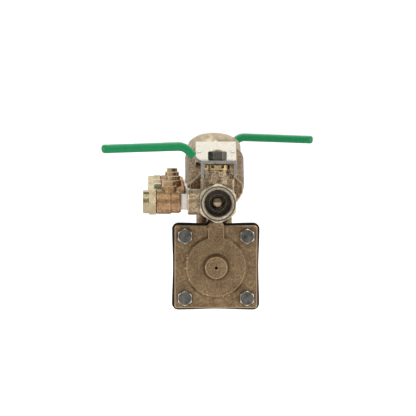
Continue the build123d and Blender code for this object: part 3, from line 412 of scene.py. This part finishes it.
paint(body_bronze, "main_body")
paint(cover_bronze, "relief_cover")
paint(valve_bronze, "inlet_valve_body", "outlet_valve_body")
paint(grip_vinyl, "inlet_valve_grip", "outlet_valve_grip")
paint(seal_rubber, "relief_diaphragm", "o_rings", "relief_disc", "check_1_disc", "check_2_disc")
paint(tape_white, "thread_tape")
paint(ptfe_white, "valve_seats", "test_cock_seats", "valve_stem_packings")
paint(check_plastic, "check_1_seat", "check_2_seat", "check_1_poppet", "check_2_poppet")
paint(lever_steel, "inlet_valve_handle", "outlet_valve_handle")
paint(nut_steel, "inlet_valve_handle_nut", "outlet_valve_handle_nut")
paint(bolt_steel, "relief_cover_bolts")
paint(inner_steel, "check_1_spring", "check_2_spring", "relief_spring", "relief_stem",
      "relief_diaphragm_plates", "relief_stem_nut")
paint(rivet_aluminium, "nameplate_rivets")

inner_brass = (0.6, 0.47, 0.26)
for check in ("check_1", "check_2"):
    centre = middle(f"{check}_seat")
    paint(turned_metal(f"{check}_cover_bronze", (0.37, 0.31, 0.225), (centre, check_axis),
                       pitch=0.8 * mm, depth=0.05 * mm, contrast=0.3, rough=(0.34, 0.5)),
          f"{check}_cover")
    paint(turned_metal(f"{check}_screw_brass", inner_brass, (centre, check_axis)),
          f"{check}_disc_screw")
paint(turned_metal("relief_brass", inner_brass, (relief_centre, flow_axis)),
      "relief_seat", "relief_stem_guide", "relief_disc_holder", "relief_disc_screw")

# painted light at each radius of a port: painted shade in the bore, a painted highlight on the chamfer, painted
# shade on the face
bore_radius = mounts["inlet_port"]["dims"]["r_mm"] * mm
chamfer_edge = bore_radius + 1.9 * mm
face_edge = bore_radius + 3.3 * mm
corner_reach = bore_radius + 7.4 * mm
port_painted_rings = [(bore_radius - 1.2 * mm, 0.1), (bore_radius, 0.16), (bore_radius + 0.3 * mm, 1.1),
              (chamfer_edge, 1.0), (chamfer_edge + 0.3 * mm, 0.2), (face_edge, 0.24),
              (face_edge + 0.5 * mm, 1.0), (corner_reach, 0.9)]
port_centre = (0, 0, 0)     # both ports lie on the flow axis, so one point on it serves both
for side in ("inlet", "outlet"):
    stem = middle(f"{side}_valve_stem")
    paint(port_metal(f"{side}_port_bronze", (0.46, 0.39, 0.29), port_centre, port_painted_rings),
          f"{side}_valve_end_cap")
    paint(turned_metal(f"{side}_stem_brass", (0.5, 0.41, 0.27), (stem, up_axis)),
          f"{side}_valve_stem")
    paint(turned_metal(f"{side}_gland_brass", (0.43, 0.33, 0.18), (stem, up_axis), contrast=0.4),
          f"{side}_valve_gland_nut")
    # the ball's dark brown tone is painted shade, for its place deep inside the bore
    paint(turned_metal(f"{side}_ball_chrome", (0.3, 0.24, 0.17), (port_centre, flow_axis),
                       rough=(0.08, 0.18), depth=0.01 * mm, contrast=0.3), f"{side}_valve_ball")

for number in range(1, 5):
    cock = f"test_cock_{number}"
    centre = middle(f"{cock}_tail")
    turn_at = joints[f"{cock}_turn"]["pos_m"]
    paint(cock_bronze, f"{cock}_body")
    paint(turned_metal(f"{cock}_brass", (0.33, 0.275, 0.175), (centre, (1, 0, 0)), contrast=0.6,
                       rough=(0.16, 0.3)), f"{cock}_tail")
    paint(turned_metal(f"{cock}_stem_bronze", (0.39, 0.28, 0.15), (turn_at, up_axis)),
          f"{cock}_stem")


def enamel():
    """The cream nameplate, with rubbed edges and light scuffs."""
    look = Surface("plate_tin", metallic=0.0)
    look.shader.inputs["Coat Weight"].default_value = 0.3
    look.shader.inputs["Coat Roughness"].default_value = 0.2
    scuffs = look.noise(2.2 * mm, detail=6.0, rough=0.7, warp=1.2)
    tone = look.ramp(scuffs, (0.3, (0.42, 0.38, 0.28)), (0.42, (0.62, 0.58, 0.47)),
                     (0.7, (0.73, 0.7, 0.62)))
    tone = look.mix(look.edges(0.4 * mm, 0.8, 0.98), tone, (0.5, 0.47, 0.4))
    look.bump(scuffs, 0.03 * mm, 0.3)
    return look.finish(tone, look.scale(scuffs, 0.42, 0.3))


paint(enamel(), "nameplate")


# ---------------------------------------------------------------- softened shapes
def cast_shape(name, voxel, rounds, lumps):
    """Softened corners, blended joins and a slightly uneven skin, for castings and grips."""
    piece = nodes[name]
    remesh = piece.modifiers.new("blend", "REMESH")
    remesh.mode = "VOXEL"
    remesh.voxel_size = voxel
    remesh.use_smooth_shade = True
    smooth = piece.modifiers.new("soften", "SMOOTH")
    smooth.factor = 0.6
    smooth.iterations = rounds
    sand = bpy.data.textures.new(f"{name}_sand", "CLOUDS")
    sand.noise_scale = 2.4 * mm
    sand.noise_depth = 3
    uneven = piece.modifiers.new("sand", "DISPLACE")
    uneven.texture = sand
    uneven.texture_coords = "LOCAL"
    uneven.strength = lumps
    uneven.mid_level = 1.0


def eased_edges(width, *names):
    """Small chamfers on machined pieces, so that their edges catch the light."""
    for name in names:
        piece = nodes[name]
        weld = piece.modifiers.new("weld", "WELD")
        weld.merge_threshold = 0.001 * mm
        flat = piece.modifiers.new("flat", "DECIMATE")
        flat.decimate_type = "DISSOLVE"
        flat.angle_limit = math.radians(0.5)
        ease = piece.modifiers.new("ease", "BEVEL")
        ease.width = width
        ease.segments = 2
        ease.limit_method = "ANGLE"
        ease.angle_limit = math.radians(32)
        ease.harden_normals = True


cast_shape("main_body", voxel=0.75 * mm, rounds=4, lumps=0.4 * mm)
cast_shape("relief_cover", voxel=0.45 * mm, rounds=1, lumps=0.14 * mm)
for side in ("inlet", "outlet"):
    cast_shape(f"{side}_valve_grip", voxel=0.5 * mm, rounds=6, lumps=0.06 * mm)
    cast_shape(f"{side}_valve_body", voxel=0.5 * mm, rounds=3, lumps=0.1 * mm)
for number in range(1, 5):
    cast_shape(f"test_cock_{number}_body", voxel=0.35 * mm, rounds=2, lumps=0.05 * mm)
eased_edges(0.25 * mm, "inlet_valve_handle", "outlet_valve_handle", "relief_cover_bolts",
            "inlet_valve_handle_nut", "outlet_valve_handle_nut", "check_1_cover",
            "check_2_cover")


# ---------------------------------------------------------------- port threads
def thread_turns(name, mount, crest_depth, pitch, steps=40):
    """The thread inside a port: a ridge wound along the wall from just inside its mouth."""
    place = Vector(mount["pos_m"])
    outward = Vector(mount["axis"])
    wall = mount["dims"]["r_mm"] * mm
    run = mount["dims"]["length_mm"] * mm
    side = outward.orthogonal().normalized()
    across = outward.cross(side)
    turns = run / pitch - 1.2
    root = 0.46 * pitch
    crest = 0.08 * pitch
    sunk = 0.02 * mm
    outline = [(-root, sunk), (-crest, -crest_depth), (crest, -crest_depth), (root, sunk)]
    points, faces = [], []
    count = int(turns * steps)
    for step in range(count + 1):
        angle = 2 * math.pi * step / steps
        fade = min(1.0, step / steps * 2, (count - step) / steps * 2)
        along = 0.55 * pitch + pitch * step / steps
        spoke = side * math.cos(angle) + across * math.sin(angle)
        for offset, lift in outline:
            radius = wall + lift * (fade if lift < 0 else 1)
            points.append(place - outward * (along + offset) + spoke * radius)
    for step in range(count):
        for edge in range(len(outline)):
            one = step * len(outline) + edge
            two = step * len(outline) + (edge + 1) % len(outline)
            faces.append((one, two, two + len(outline), one + len(outline)))
    last = count * len(outline)
    faces.append(tuple(range(len(outline))))
    faces.append(tuple(last + corner for corner in reversed(range(len(outline)))))
    mesh = bpy.data.meshes.new(name)
    mesh.from_pydata([tuple(point) for point in points], [], faces)
    mesh.update()
    piece = bpy.data.objects.new(name, mesh)
    scene.collection.objects.link(piece)
    return piece


def add_thread(name, mount, crest_depth, pitch, material):
    piece = thread_turns(name, mount, crest_depth, pitch)
    piece.data.materials.append(material)
    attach(piece, "valve")


# turns to the inch of 3/4 in and 1/4 in pipe threads
pipe_pitch = inch / 14
cock_pitch = inch / 18
for side in ("inlet", "outlet"):
    add_thread(f"{side}_port_thread", mounts[f"{side}_port"], 0.75 * mm, pipe_pitch,
               nodes[f"{side}_valve_end_cap"].data.materials[0])
for number in range(1, 5):
    cock = f"test_cock_{number}"
    add_thread(f"{cock}_thread", mounts[f"{cock}_port"], 0.55 * mm, cock_pitch,
               nodes[f"{cock}_tail"].data.materials[0])


# ---------------------------------------------------------------- floor, light and camera
def plain(name, colour, rough):
    """A pale backdrop whose tone and roughness drift very slightly."""
    look = Surface(name, metallic=0.0)
    tone = look.ramp(look.noise(0.4), (0.3, shades(colour, 0.985)[0]), (0.7, colour))
    return look.finish(tone, look.scale(look.noise(0.2), rough, rough + 0.1))


floor_drop = 60 * mm
floor_half = 6.0
floor_white = (0.93, 0.93, 0.93)
floor_mesh = bpy.data.meshes.new("floor")
floor_z = cad_box[0][2] - floor_drop
floor_mesh.from_pydata([(-floor_half, -floor_half, floor_z), (floor_half, -floor_half, floor_z),
                        (floor_half, floor_half, floor_z), (-floor_half, floor_half, floor_z)],
                       [], [(0, 1, 2, 3)])
floor_mesh.materials.append(plain("floor_white", floor_white, 0.6))
floor = bpy.data.objects.new("floor", floor_mesh)
scene.collection.objects.link(floor)

room_grey = 0.3             # the unlit side of the studio, in front of the object
sky_strength = 1.03
world = bpy.data.worlds.new("studio")
scene.world = world
world.use_nodes = True
sky = world.node_tree
back = sky.nodes["Background"]


def sky_node(kind, **settings):
    made = sky.nodes.new(kind)
    for key, value in settings.items():
        setattr(made, key, value)
    return made


def sky_ramp(source, *stops):
    """Greys at given values, from -1 to 1, of one part of the direction."""
    lift = sky_node("ShaderNodeMapRange")
    lift.inputs["From Min"].default_value = -1.0
    sky.links.new(source, lift.inputs["Value"])
    ramp = sky_node("ShaderNodeValToRGB")
    steps = ramp.color_ramp.elements
    while len(steps) < len(stops):
        steps.new(0.5)
    for step, (at, grey) in zip(steps, stops):
        step.position = (at + 1) / 2
        step.color = (grey, grey, grey, 1)
    sky.links.new(lift.outputs["Result"], ramp.inputs["Fac"])
    return ramp.outputs["Color"]


# white behind and overhead, a darker room in front
ray = sky_node("ShaderNodeTexCoord")
apart = sky_node("ShaderNodeSeparateXYZ")
sky.links.new(ray.outputs["Generated"], apart.inputs["Vector"])
depth = sky_ramp(apart.outputs["Y"], (-0.9, room_grey), (-0.25, 0.55), (0.1, 1.0))
height = sky_ramp(apart.outputs["Z"], (0.0, 0.0), (0.55, 0.35), (0.95, 1.0))
both = sky_node("ShaderNodeMath", operation="ADD")
sky.links.new(depth, both.inputs[0])
sky.links.new(height, both.inputs[1])
sky.links.new(both.outputs["Value"], back.inputs["Color"])
back.inputs["Strength"].default_value = sky_strength


def area_light(name, place, target, size, power):
    lamp = bpy.data.lights.new(name, "AREA")
    lamp.shape = "RECTANGLE"
    lamp.size, lamp.size_y = size
    lamp.energy = power
    made = bpy.data.objects.new(name, lamp)
    made.location = place
    made.rotation_euler = (Vector(target) - Vector(place)).to_track_quat("-Z", "Y").to_euler()
    scene.collection.objects.link(made)


heart = Vector(cad_box[0]).lerp(Vector(cad_box[1]), 0.5)
area_light("key", place=(-0.6, -0.9, 1.0), target=heart, size=(0.35, 0.35), power=6.0)
area_light("fill", place=(1.2, -0.5, 0.3), target=heart, size=(0.3, 0.9), power=2.5)

view_azimuth = math.radians(-1.575)
view_elevation = math.radians(3.849)
view_roll = math.radians(0.17)
view_distance = 1.9606
view_target = Vector((-0.0093, 0.0, -0.0039))
film_width = 36.0           # both in millimetres, as the lens takes them
focal_length = 186.23077

lens = bpy.data.cameras.new("camera")
lens.sensor_width = film_width
lens.lens = focal_length
lens.clip_start = 0.05
lens.clip_end = 50.0
camera = bpy.data.objects.new("camera", lens)
backward = Vector((math.sin(view_azimuth) * math.cos(view_elevation),
                   -math.cos(view_azimuth) * math.cos(view_elevation),
                   math.sin(view_elevation)))
level = backward.to_track_quat("Z", "Y").to_matrix().to_4x4()
camera.matrix_world = (Matrix.Translation(view_target + backward * view_distance) @ level
                       @ Matrix.Rotation(view_roll, 4, "Z"))
scene.collection.objects.link(camera)
scene.camera = camera
scene.view_settings.view_transform = "Standard"
